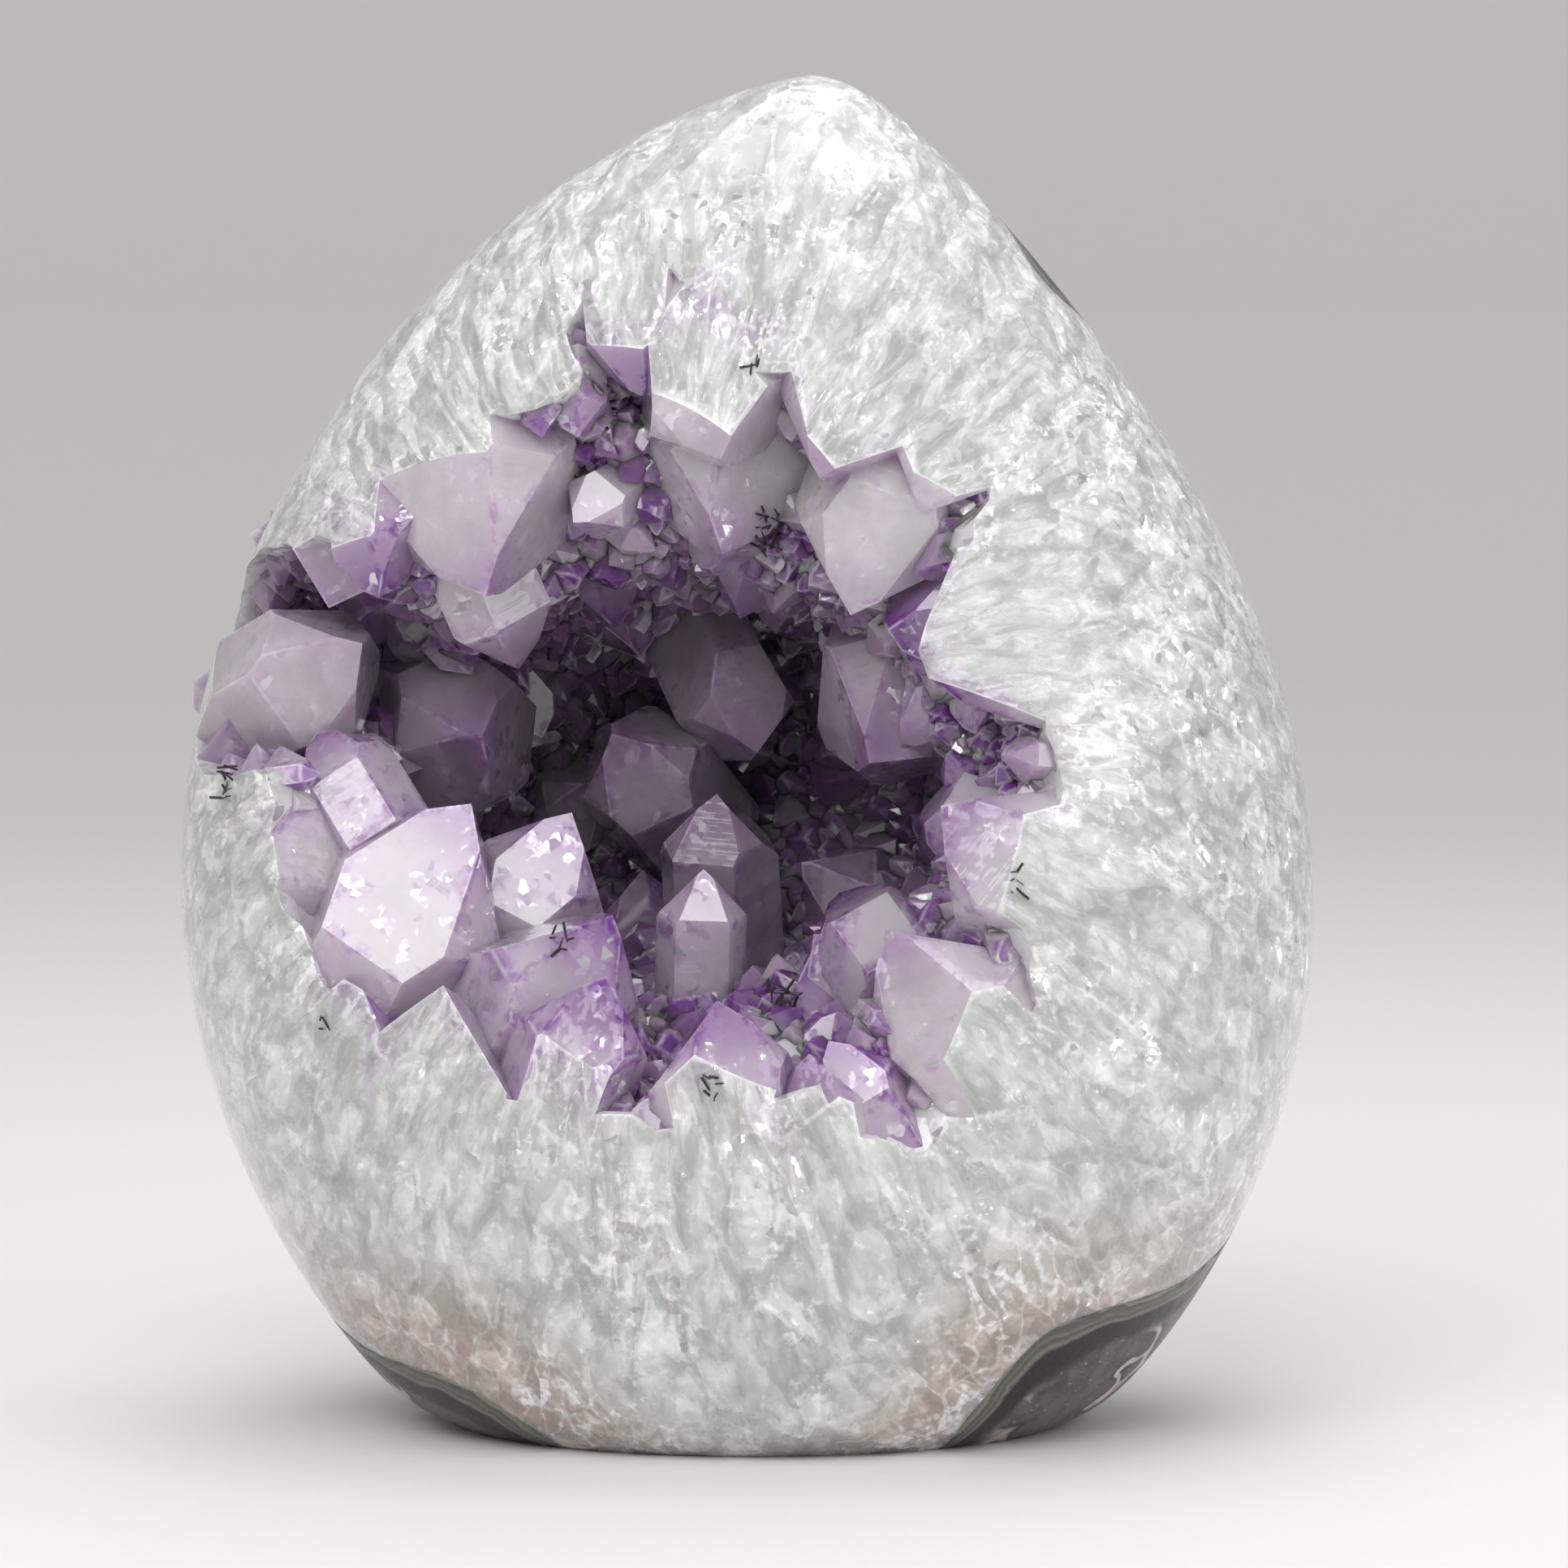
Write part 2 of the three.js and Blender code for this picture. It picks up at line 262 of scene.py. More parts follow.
def hollowObject(hollow, material):   # its wall is uneven, as the small crystals under it are
    points, faces = ballPoints(hollow["detail"])
    places = points * hollow["radii"] + hollow["centre"]
    for i, place in enumerate(places):
        swell = noise.noise(Vector(place) / hollowWall["swells"])
        swell = swell + 0.5 * noise.noise(Vector(place) / hollowWall["ripples"])
        places[i] += points[i] * swell * hollowWall["unevenness"]
    return newObject("hollow", places, faces, material)


def crystalPlanes(point, along, radius, turn, length, seed):   # normals and distances from the origin
    tilt = math.radians(crystalForm["pointFaceTilt"])
    aim = Vector((0, 0, 1)).rotation_difference(Vector(along).normalized())
    spin = Matrix.Rotation(math.radians(turn), 3, "Z")
    normals, offsets = [Vector((0, 0, -1))], [length]
    for side in range(6):
        angle = side * math.pi / 3
        wide = radius * 0.866 * (0.86 + 0.28 * chance(seed * 17 + side))
        lift = radius * ((0.22 if side % 2 else 0) + 0.16 * chance(seed * 31 + side))
        normals.append(Vector((math.cos(angle), math.sin(angle), 0)))
        offsets.append(wide)
        slant = (math.cos(angle) * math.sin(tilt), math.sin(angle) * math.sin(tilt), math.cos(tilt))
        normals.append(Vector(slant))
        offsets.append(math.cos(tilt) * lift)
    turned = np.array([aim @ (spin @ n) for n in normals])
    return turned, np.array(offsets) + turned @ np.array(point)


def cornersOf(normals, offsets):
    count = len(offsets)
    a, b, c = np.array([(i, j, k) for i in range(count) for j in range(i) for k in range(j)]).T
    sets = np.stack([normals[a], normals[b], normals[c]], 1)
    solid = abs(np.linalg.det(sets)) > 1e-6
    ends = np.stack([offsets[a], offsets[b], offsets[c]], 1)[solid]
    corners = np.linalg.solve(sets[solid], ends[..., None])[..., 0]
    return corners[(corners @ normals.T <= offsets + 1e-4).all(1)]


def crystalObject(crystal, material):
    normals, offsets = crystal["planes"]
    shape = bmesh.new()
    for corner in cornersOf(normals, offsets):
        shape.verts.new(corner)
    bmesh.ops.remove_doubles(shape, verts=shape.verts, dist=0.02)
    bmesh.ops.convex_hull(shape, input=shape.verts, use_existing_faces=False)
    bmesh.ops.dissolve_limit(shape, angle_limit=0.01, verts=shape.verts, edges=shape.edges)
    bmesh.ops.poke(shape, faces=shape.faces)   # a middle point tells a face's edges from its middle
    bmesh.ops.recalc_face_normals(shape, faces=shape.faces)
    mesh = bpy.data.meshes.new("crystal")
    shape.to_mesh(mesh)
    shape.free()
    mesh.materials.append(material)
    places = np.array([v.co[:] for v in mesh.vertices])
    along = crystal["along"] / np.linalg.norm(crystal["along"])
    belowTip = (places @ along).max() - places @ along
    values = {"tip": [], "ridge": [], "shade": [], "purple": []}
    for face in mesh.polygons:
        own = int((normals @ np.array(face.normal)).argmax())
        lean = np.sqrt(np.maximum(1 - (normals @ normals[own]) ** 2, 1e-4))
        for index in face.vertices:
            gaps = (offsets - normals @ places[index]) / lean
            gaps[own] = 100
            values["tip"].append(belowTip[index])
            values["ridge"].append(max(gaps.min(), 0))
            values["shade"].append(crystal["shade"])
            values["purple"].append(crystal["purple"])
    for name, numbers in values.items():
        mesh.attributes.new(name, "FLOAT", "CORNER").data.foreach_set("value", numbers)
    piece = bpy.data.objects.new("crystal", mesh)
    scene.collection.objects.link(piece)
    return piece


def liningCrystals(hollow, firstSeed):
    count, (smallest, largest) = hollow["crystals"], hollow["size"]
    centre, radii = np.array(hollow["centre"]), np.array(hollow["radii"])
    found = []
    for i in range(count):
        seed = firstSeed + i
        up = 1 - (2 * i + 1) / count
        ring, around = math.sqrt(1 - up * up), math.pi * (3 - math.sqrt(5)) * i
        onBall = np.array([ring * math.cos(around), ring * math.sin(around), up])
        place = onBall * radii + centre
        others = [h for h in hollows if h is not hollow]
        reaches = [np.linalg.norm((place - h["centre"]) / h["radii"]) for h in others]
        if min(reaches) < crystalForm["wallMargin"]:     # another hollow has taken this wall away
            continue
        along = -onBall / radii
        along /= np.linalg.norm(along)
        along += crystalForm["liningTilt"] * (np.array([chance(seed * 7 + k) for k in (1, 2, 3)]) - 0.5)
        along /= np.linalg.norm(along)
        radius = smallest + (largest - smallest) * chance(seed * 3 + 1)
        point = place + along * radius * (0.5 + 0.7 * chance(seed * 5 + 2))
        if skinDepths(point[None])[0] < crystalForm["bodyBelowPolish"] * radius:
            continue
        planes = crystalPlanes(point, along, radius, 60 * chance(seed), crystalForm["liningLength"], seed)
        purple = 0.5 + 0.9 * chance(seed * 11)
        found.append({"planes": planes, "along": along, "purple": purple, "shade": chance(seed * 13)})
    return found


def allCrystals():
    large = []
    for seed, (point, along, radius, turn, purple) in enumerate(largeCrystals):
        planes = crystalPlanes(point, along, radius, turn, crystalForm["length"], seed)
        along = np.array(along) / np.linalg.norm(along)
        crystal = {"planes": planes, "along": along, "purple": purple, "shade": chance(seed * 13)}
        large.append({**crystal, "top": (cornersOf(*planes) @ along).max()})
    lining = []
    for i, hollow in enumerate(hollows):
        lining += liningCrystals(hollow, 100 + 200 * i)
    return large, lining


def combine(base, operation, operands):   # joins or cuts, and takes the operands away
    step = base.modifiers.new("step", "BOOLEAN")
    step.operation, step.solver, step.material_mode = operation, "MANIFOLD", "TRANSFER"
    group = bpy.data.collections.new("operands")
    for piece in operands:
        group.objects.link(piece)
    step.operand_type = "COLLECTION"
    step.collection = group
    scene.collection.children.link(group)
    bpy.context.view_layer.update()
    solid = bpy.data.meshes.new_from_object(base.evaluated_get(bpy.context.evaluated_depsgraph_get()))
    base.modifiers.clear()
    base.data = solid
    for piece in operands:
        bpy.data.objects.remove(piece)
    bpy.data.collections.remove(group)
    return base


# Nodes, for materials and for geometry alike.

class Wire:                  # a node's output, which arithmetic can be written with
    def __init__(self, tree, socket):
        self.tree, self.socket = tree, socket

    def math(self, operation, *values):
        return self.tree.add("ShaderNodeMath", {"operation": operation}, dict(enumerate(values)))

    def __add__(self, other):
        return self.math("ADD", self, other)

    def __sub__(self, other):
        return self.math("SUBTRACT", self, other)

    def __rsub__(self, other):
        return self.math("SUBTRACT", other, self)

    def __mul__(self, other):
        return self.math("MULTIPLY", self, other)

    def __truediv__(self, other):
        return self.math("DIVIDE", self, other)

    def __pow__(self, other):
        return self.math("POWER", self, other)

    def __abs__(self):
        return self.math("ABSOLUTE", self)

    __radd__, __rmul__ = __add__, __mul__

    def most(self, other):
        return self.math("MAXIMUM", self, other)

    def rise(self, start, end):       # 0 before start, 1 after end, and smooth between them
        sockets = {"Value": self, "From Min": start, "From Max": end}
        return self.tree.add("ShaderNodeMapRange", {"interpolation_type": "SMOOTHSTEP"}, sockets)

    def sibling(self, output):        # another output of the same node
        return Wire(self.tree, self.socket.node.outputs[output])


class Tree:
    def __init__(self, nodeTree):
        self.nodeTree = nodeTree
        nodeTree.nodes.clear()

    def add(self, kind, settings=None, sockets=None, output=0):
        node = self.nodeTree.nodes.new(kind)
        for name, value in (settings or {}).items():
            setattr(node, name, value)
        for name, value in (sockets or {}).items():
            socket = node.inputs[name]
            if isinstance(value, Wire):
                self.nodeTree.links.new(value.socket, socket)
            elif socket.type == "RGBA":
                socket.default_value = (*value, 1)
            else:
                socket.default_value = value
        return Wire(self, node.outputs[output] if len(node.outputs) else None)

    def vector(self, operation, *values, output=0):
        return self.add("ShaderNodeVectorMath", {"operation": operation}, dict(enumerate(values)), output)

    def attribute(self, name):
        return self.add("ShaderNodeAttribute", {"attribute_name": name}, output=2)

    def place(self):                  # where a point of the piece is, in millimetres
        corner = self.add("ShaderNodeTexCoord", output="Object")
        return self.vector("MULTIPLY", corner, (1 / unit,) * 3)

    def noise(self, place, size, detail=2, rough=0.5):
        sockets = {"Vector": place, "Scale": 1 / size, "Detail": detail, "Roughness": rough}
        return self.add("ShaderNodeTexNoise", {}, sockets)

    def wobble(self, place, size, amount, detail=1.5):    # the same place, moved about a little
        sockets = {"Vector": place, "Scale": 1 / size, "Detail": detail, "Roughness": 0.6}
        shift = self.vector("SUBTRACT", self.add("ShaderNodeTexNoise", {}, sockets, 1), (0.5, 0.5, 0.5))
        return self.vector("ADD", place, self.vector("MULTIPLY", shift, (amount,) * 3))

    def cellEdge(self, place, size):  # distance from the nearest boundary between cells, in millimetres
        settings = {"feature": "DISTANCE_TO_EDGE"}
        return self.add("ShaderNodeTexVoronoi", settings, {"Vector": place, "Scale": 1 / size}) * size

    def cellTone(self, place, size):  # a number of its own for each cell
        colour = self.add("ShaderNodeTexVoronoi", {}, {"Vector": place, "Scale": 1 / size}, 1)
        return self.add("ShaderNodeSeparateColor", {}, {"Color": colour})

    def shard(self, place, size):     # a height with flat slanting faces, in millimetres
        settings = {"distance": "CHEBYCHEV"}
        return self.add("ShaderNodeTexVoronoi", settings, {"Vector": place, "Scale": 1 / size}) * size

    def dots(self, place, spacing, radius, share):   # scattered small spots
        near = self.add("ShaderNodeTexVoronoi", {}, {"Vector": place, "Scale": 1 / spacing})
        tone = self.add("ShaderNodeSeparateColor", {}, {"Color": near.sibling(1)})
        return (1 - (near * spacing).rise(radius * 0.6, radius)) * (1 - tone.rise(share, share + 0.02))

    def blend(self, share, colour, other):
        return self.add("ShaderNodeMix", {"data_type": "RGBA"}, {0: share, 6: colour, 7: other}, 2)

    def bump(self, height):           # height in millimetres
        return self.add("ShaderNodeBump", {}, {"Height": height, "Distance": unit, "Strength": 1})

    def surface(self, **sockets):
        return self.add("ShaderNodeBsdfPrincipled", {}, sockets)


def newMaterial(name, make):
    material = bpy.data.materials.new(name)
    material.use_nodes = True
    tree = Tree(material.node_tree)
    shader, volume = make(tree)
    sockets = {"Surface": shader}
    if volume:
        sockets["Volume"] = volume
    tree.add("ShaderNodeOutputMaterial", {}, sockets)
    return material


# Quartz: the polished skin, and the natural crystal faces.

quartzLook = {
    "growthCentre": (-10, -46, 88),   # the columns of the wall point at this place
    "columnSpread": 50,               # cells keep their own width about this far from there
    "columnStretch": 0.12,            # less than 1 makes cells long
    "clear": (0.75, 0.78, 0.74),
    "milky": (0.88, 0.90, 0.88),
    "white": (0.98, 0.98, 0.98),
    # pink of the fine grains, together with a painted reflection of pink below the stone
    "rosyAndReflected": (0.66, 0.47, 0.42),
    "lilac": (0.54, 0.40, 0.60),
    "violet": (0.26, 0.09, 0.38),
    "glow": (0.0035, 0.0037, 0.0035), # how far light spreads under the skin, in metres
    "bending": 1.544,
    "coatRoughness": 0.06,
    "absorbed": (0.86, 0.84, 0.90),
    "absorption": 18,                 # per metre
}


def grownPlace(tree, place):          # stretched outwards, so cells become columns
    outward = tree.vector("SUBTRACT", place, quartzLook["growthCentre"])
    reach = tree.vector("LENGTH", outward, output=1)
    direction = tree.vector("NORMALIZE", outward)
    stretched = quartzLook["columnSpread"] + quartzLook["columnStretch"] * reach
    return tree.add("ShaderNodeVectorMath", {"operation": "SCALE"}, {0: direction, "Scale": stretched})


def cracks(tree, place, cell, width, fray):   # white lines on the boundaries of the cells
    return 1 - tree.cellEdge(place, cell).rise(0, width * (0.1 + 2.4 * fray ** 2))


def facets(tree, place, cell, tilt):  # a tone for each cell, and a normal turned its own way in each
    near = tree.add("ShaderNodeTexVoronoi", {}, {"Vector": place, "Scale": 1 / cell}, 1)
    tone = tree.add("ShaderNodeSeparateColor", {}, {"Color": near})
    turn = tree.vector("MULTIPLY", tree.vector("SUBTRACT", near, (0.5, 0.5, 0.5)), (tilt,) * 3)
    straight = tree.add("ShaderNodeNewGeometry", output=1)
    return tone, tree.vector("NORMALIZE", tree.vector("ADD", straight, turn))


def mixNormals(tree, share, normal, other):
    sockets = {0: share, 4: normal, 5: other}
    return tree.add("ShaderNodeMix", {"data_type": "VECTOR"}, sockets, 1)


def stripes(tree, along, perMillimetre):       # bands across a number that rises along the stone
    sockets = {"W": along, "Scale": perMillimetre, "Detail": 2}
    return tree.add("ShaderNodeTexNoise", {"noise_dimensions": "1D"}, sockets)


def glassAndMilk(tree, share, colour, roughness, normal, look, coat, metal=0.0):
    common = {"Roughness": roughness, "Normal": normal, "IOR": look["bending"],
              "Coat Weight": coat, "Coat Roughness": look["coatRoughness"], "Coat IOR": look["bending"]}
    milk = tree.surface(**common, **{
        "Base Color": colour, "Metallic": metal,
        "Subsurface Weight": 1.0, "Subsurface Radius": look["glow"], "Subsurface Scale": 1.0})
    glass = tree.surface(**common, **{"Base Color": (1.0, 1.0, 1.0), "Transmission Weight": 1.0})
    shader = tree.add("ShaderNodeMixShader", {}, {0: share, 1: milk, 2: glass})
    tint = {"Color": look["absorbed"], "Density": look["absorption"]}
    volume = tree.add("ShaderNodeVolumeAbsorption", {}, tint)
    return shader, volume


def polishedQuartz(tree):
    look = quartzLook
    place = tree.place()
    toRind = 0 - tree.attribute("rindDepth")
    crystalDepth = tree.attribute("crystalDepth")
    height = tree.add("ShaderNodeSeparateXYZ", {}, {0: place}, 2)
    fine = 1 - toRind.rise(3, 14)                   # small columns next to the rind
    heart = 1 - crystalDepth.rise(-3, 0.5)          # inside the large crystals, with few cracks
    fray = tree.noise(place, 1.2, 3, 0.6)
    patch = tree.noise(place, 9, 4, 0.6)
    columns = tree.wobble(grownPlace(tree, place), 6, 5, 2)
    wisp = tree.noise(columns, 2.4, 3, 0.6)
    icy = (patch * 0.6 + fray * 0.4).rise(0.45, 0.58) * (1 - heart * 0.6)     # much fractured places
    some = (fray * 0.5 + patch * 0.5)
    lines = cracks(tree, columns, 5.5, 0.5, fray) * some.rise(0.43, 0.56)
    lines = lines.most(cracks(tree, columns, 2, 0.32, fray) * (some.rise(0.48, 0.6) + fine * 0.5))
    edges = (1 - abs(crystalDepth).rise(0.05, 0.05 + 0.5 * fray)) * tree.attribute("outline")
    lines = (lines * (1 - heart * 0.5)).most(edges * 0.7)
    flakeTone, flakeNormal = facets(tree, tree.wobble(place, 2.5, 2), 1.4, 1.5)
    flake = (1 - flakeTone.rise(0.3, 0.32)) * icy
    milkiness = (patch * 0.4 + wisp * 0.9).rise(0.4, 0.9)
    colour = tree.blend(milkiness, look["clear"], look["milky"])
    # rosy towards the bottom beside the rind: partly the fine grains' own pink, partly a painted reflection
    # of pink cloth under the stone
    rosyAndReflected = fine * (1 - height.rise(10, 36)) * (0.35 + 0.8 * wisp)
    colour = tree.blend(rosyAndReflected, colour, look["rosyAndReflected"])
    tinge = tree.attribute("zone") * (patch + 0.5 * fray).rise(0.5, 0.95)
    colour = tree.blend(tinge.rise(0, 0.8) * 0.8, colour, look["lilac"])
    colour = tree.blend(tinge.rise(0.5, 1.4), colour, look["violet"])
    colour = tree.blend((lines * 0.9).most(flake * 0.8), colour, look["white"])
    glassShare = (0.40 - 0.28 * milkiness) * (1 - lines * 0.9)
    crystals = tree.shard(columns, 5) * 1.6 + tree.shard(columns, 1.8) * 0.5 + tree.shard(place, 2.6) * 0.3
    buried = tree.bump(crystals)
    turned = mixNormals(tree, flake * 0.7, buried, flakeNormal)
    return glassAndMilk(tree, glassShare, colour, 0.22 + 0.1 * milkiness, turned, look, 1.0, flake * 0.8)


faceLook = {
    "pale": (0.75, 0.67, 0.74),
    "lilac": (0.47, 0.31, 0.53),
    "violet": (0.20, 0.04, 0.32),
    # painted shade: the colour the faces are given at the back of the cave
    "caveShadeColour": (0.24, 0.17, 0.24),
    "white": (0.88, 0.86, 0.90),
    "glow": (0.0045, 0.0035, 0.005),
    "bending": 1.544,
    "coatRoughness": 0.05,
    "absorbed": (0.62, 0.48, 0.80),
    "absorption": 45,
}


def crystalFace(tree):
    look = faceLook
    place = tree.place()
    tip, ridge = tree.attribute("tip"), tree.attribute("ridge")
    tone, purple = tree.attribute("shade"), tree.attribute("purple")
    # painted shade: faces further back in the cave are painted darker, and lose their white flakes there
    depth = tree.add("ShaderNodeSeparateXYZ", {}, {0: place}, 1).rise(-32, -4)
    patches = tree.noise(place, 6, 4, 0.6)
    fray = tree.noise(place, 1.6, 3, 0.6)
    mottled = patches.rise(0.35, 0.68)
    nearTip = 1 - (tip + patches * 8).rise(3, 12)
    atRidge = (1 - (ridge + patches * 1.6 - 0.6).rise(0, 1.4)) * (fray * 0.4 + patches * 0.6).rise(0.46, 0.58)
    stain = purple * (0.2 + nearTip * 0.75 + atRidge * 0.8 + mottled * 0.4)
    colour = tree.blend(tone * 0.4 + mottled * 0.25, look["pale"], look["white"])
    colour = tree.blend(stain.rise(0.05, 0.9), colour, look["lilac"])
    colour = tree.blend(stain.rise(0.75, 1.6), colour, look["violet"])
    colour = tree.blend(depth * 0.5, colour, look["caveShadeColour"])
    nearSkin = 1 - tree.attribute("skinDepth").rise(1, 6)     # the broken edge next to the polish is white
    bare = nearSkin * (1 - purple.rise(0, 0.05))
    flakeTone, flakeNormal = facets(tree, tree.wobble(place, 2, 1.5), 1.3, 1.2)
    fractured = (patches * 0.6 + fray * 0.4).rise(0.48, 0.62).most(bare)
    flake = (1 - flakeTone.rise(0.2, 0.22)) * fractured * (1 - depth)
    # painted highlight: a thin white line along some crystal edges, where the edges catch the light
    edge = (1 - ridge.rise(0.05, 0.3)) * patches.rise(0.5, 0.6)
    colour = tree.blend(bare * 0.8, colour, look["white"])
    colour = tree.blend(flake.most(edge * 0.4), colour, look["white"])
    glassShare = 0.42 * (1 - mottled * 0.4)
    grain = tree.bump(0.03 * stripes(tree, tip, 1.6) + 0.16 * tree.noise(place, 3, 2))
    turned = mixNormals(tree, fractured * 0.5, grain, flakeNormal)
    return glassAndMilk(tree, glassShare, colour, 0.05 + 0.12 * mottled, turned, look, 0.9, flake * 0.7)


# The rind: a thin agate band, a black band, then basalt with pale veins and filled bubbles.

rindLook = {
    "agate": (0.20, 0.20, 0.16),
    "agateDark": (0.08, 0.08, 0.07),
    "black": (0.010, 0.008, 0.010),
    "basalt": (0.055, 0.048, 0.050),
    "basaltPale": (0.13, 0.115, 0.115),
    "vein": (0.68, 0.56, 0.55),
    "agateWidth": 1.0,
    "blackWidth": 1.8,
    "veinSpacing": 13,
    "bubbleSpacing": 8,
    "bubbleRadius": 1.3,
}


def polishedRind(tree):
    look = rindLook
    place = tree.place()
    inward = tree.attribute("rindDepth") + 1.8 * (tree.noise(place, 7, 3) - 0.5)
    banding = stripes(tree, inward, 2.2).rise(0.35, 0.65)
    colour = tree.blend(banding, look["agate"], look["agateDark"])
    afterAgate = inward.rise(look["agateWidth"], look["agateWidth"] + 0.35)
    colour = tree.blend(afterAgate, colour, look["black"])
    mottled = tree.noise(place, 2.2, 5, 0.65).rise(0.3, 0.7)
    basalt = tree.blend(mottled, look["basalt"], look["basaltPale"])
    grains = tree.dots(place, 0.9, 0.22, 0.25)
    basalt = tree.blend(grains * 0.5, basalt, look["vein"])
    blackEnd = look["agateWidth"] + look["blackWidth"]
    colour = tree.blend(inward.rise(blackEnd - 0.4, blackEnd + 0.4), colour, basalt)
    bent = tree.wobble(place, 9, 9)
    vein = abs(tree.noise(bent, look["veinSpacing"], 1) - 0.5) * look["veinSpacing"]
    veinLine = 1 - vein.rise(0.15, 0.5)
    halo = (1 - vein.rise(0.5, 1.3)) - veinLine
    spacing = look["bubbleSpacing"]
    uneven = tree.wobble(place, 3, 1.2)
    bubble = tree.add("ShaderNodeTexVoronoi", {}, {"Vector": uneven, "Scale": 1 / spacing}) * spacing
    picked = 1 - tree.cellTone(uneven, spacing).rise(0.3, 0.32)
    ring = (1 - abs(bubble - look["bubbleRadius"]).rise(0.25, 0.6)) * picked
    pale = veinLine.most(ring) * inward.rise(blackEnd, blackEnd + 1)
    colour = tree.blend(halo * inward.rise(blackEnd, blackEnd + 1) * 0.8, colour, look["black"])
    colour = tree.blend(pale * (0.6 + 0.4 * mottled), colour, look["vein"])
    height = 0.02 * mottled + 0.03 * pale
    shader = tree.surface(**{
        "Base Color": colour, "Roughness": 0.22 + 0.14 * mottled, "Normal": tree.bump(height), "IOR": 1.54})
    return shader, None


# Black needles grown on the crystals.

def needleFinish(tree):
    place = tree.place()
    worn = tree.noise(place, 0.5, 3)
    colour = tree.blend(worn.rise(0.4, 0.7), needleForm["colour"], needleForm["wornColour"])
    return tree.surface(**{"Base Color": colour, "Roughness": 0.3 + 0.25 * worn}), None


# Numbers at each point of a mesh, which the materials read.

def pointPlaces(mesh):
    places = np.empty(len(mesh.vertices) * 3)
    mesh.vertices.foreach_get("co", places)
    return places.reshape(-1, 3)


def rindDepths(places):      # how far past the rind's inner face, below 0 in the quartz
    outward = (places - rindFace["centre"]) / rindFace["radii"]
    length = np.linalg.norm(outward, axis=1)
    directions = outward / length[:, None]
    return (length - rindReach(directions)) * rindFace["radii"][0]


def crystalDepths(places, crystals):      # distance outside each crystal's sides and point, below 0 inside
    return np.array([(places @ c["planes"][0][1:].T - c["planes"][1][1:]).max(1) for c in crystals])


def belowTips(places, crystals):          # how far down from each crystal's point
    return np.array([places @ -c["along"] / np.linalg.norm(c["along"]) + c["top"] for c in crystals])


def writePoints(mesh, name, numbers):
    mesh.attributes.new(name, "FLOAT", "POINT").data.foreach_set("value", numbers.astype(np.float32))


zoneForm = {                 # the purple under the polish, round the point of each large crystal
    "strongest": 1.4,
    "fade": 14,              # over how many millimetres it fades down the crystal
    "width": 2.5,
    "outlineWidth": 2,
}


def writeDepths(mesh):       # what the quartz materials need to know at each point
    places = pointPlaces(mesh)
    depths = crystalDepths(places, large)
    writePoints(mesh, "rindDepth", rindDepths(places))
    writePoints(mesh, "skinDepth", skinDepths(places))
    writePoints(mesh, "crystalDepth", depths.min(0))
    fading = np.clip(zoneForm["strongest"] - belowTips(places, large) / zoneForm["fade"], 0, 1)
    strength = np.array([c["purple"] for c in large])[:, None]
    near = fading * np.exp(-np.abs(depths) / zoneForm["width"])
    writePoints(mesh, "zone", (strength * near).max(0))
    writePoints(mesh, "outline", (fading * np.exp(-np.abs(depths) / zoneForm["outlineWidth"])).max(0))


def keepLargest(piece):      # a joined solid may leave loose crumbs, which go
    shape = bmesh.new()
    shape.from_mesh(piece.data)
    left, groups = set(shape.verts), []
    while left:
        group, edge = set(), [left.pop()]
        while edge:
            vert = edge.pop()
            group.add(vert)
            for link in vert.link_edges:
                other = link.other_vert(vert)
                if other in left:
                    left.remove(other)
                    edge.append(other)
        groups.append(group)
    largest = max(groups, key=len)
    bmesh.ops.delete(shape, geom=[v for g in groups if g is not largest for v in g], context="VERTS")
    shape.to_mesh(piece.data)
    shape.free()


def smoothPolish(mesh):      # the polish is smooth, and the crystals' own faces are flat
    polished = [m.name.startswith("polished") for m in mesh.materials]
    mesh.polygons.foreach_set("use_smooth", [polished[p.material_index] for p in mesh.polygons])
    mesh.update()


druseForm = {
    "spacing": 2.1,
    "smallest": 0.55,
    "largest": 1.7,
    "tilt": 0.5,
    "seed": 7,
    "patterns": 4,           # different small crystals
    "radius": 2,
    "length": 6,
    "bareRim": 3.5,          # how far below the polish the first ones grow
}


def newGeometry(name, inputs):
    group = bpy.data.node_groups.new(name, "GeometryNodeTree")
    group.interface.new_socket("Geometry", in_out="INPUT", socket_type="NodeSocketGeometry")
    group.interface.new_socket("Geometry", in_out="OUTPUT", socket_type="NodeSocketGeometry")
    for label, kind in inputs.items():
        group.interface.new_socket(label, in_out="INPUT", socket_type="NodeSocket" + kind)
    tree = Tree(group)
    return group, tree, tree.add("NodeGroupInput")


def grow(base, group, values):       # runs the nodes on the base and leaves a plain mesh
    step = base.modifiers.new("grow", "NODES")
    step.node_group = group
    for item in group.interface.items_tree:
        if item.in_out == "INPUT" and item.name in values:
            step[item.identifier] = values[item.name]
    bpy.context.view_layer.update()
    base.data = bpy.data.meshes.new_from_object(base.evaluated_get(bpy.context.evaluated_depsgraph_get()))
    base.modifiers.clear()
    return base


